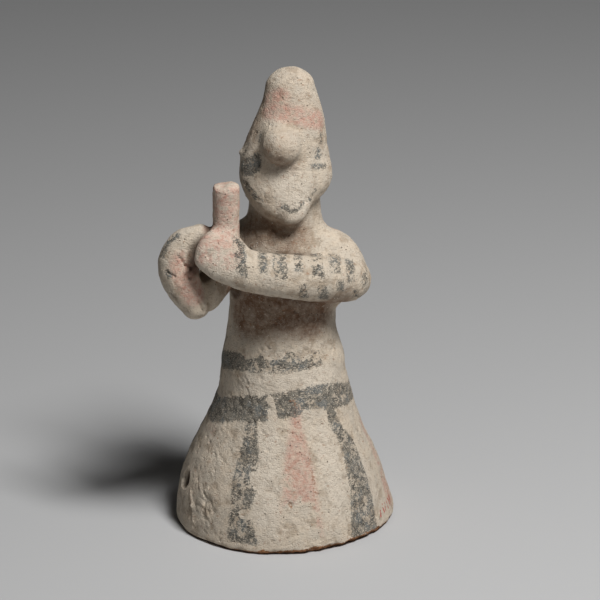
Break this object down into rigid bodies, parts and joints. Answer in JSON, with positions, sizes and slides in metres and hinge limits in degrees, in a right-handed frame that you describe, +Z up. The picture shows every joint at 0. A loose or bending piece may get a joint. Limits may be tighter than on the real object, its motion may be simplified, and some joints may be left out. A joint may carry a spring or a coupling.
{
  "type": "terracotta bell figurine",
  "caption": "Hand-made terracotta figurine: hollow bell-shaped body, folded arms holding an upright rod, bearded head with a tall conical cap, worn painted bands.",
  "frame": {"origin": "centre of the bounding box at the plane the foot stands on", "axes": "+Z up from the foot to the top of the cap, -Y the way the figure faces, +X to the figure's left"},
  "size_m": [0.0756, 0.0764, 0.1498],
  "materials": {
    "terracotta": "matte"
  },
  "bodies": {
    "root": {"figurine": "terracotta"}
  },
  "joints": []
}
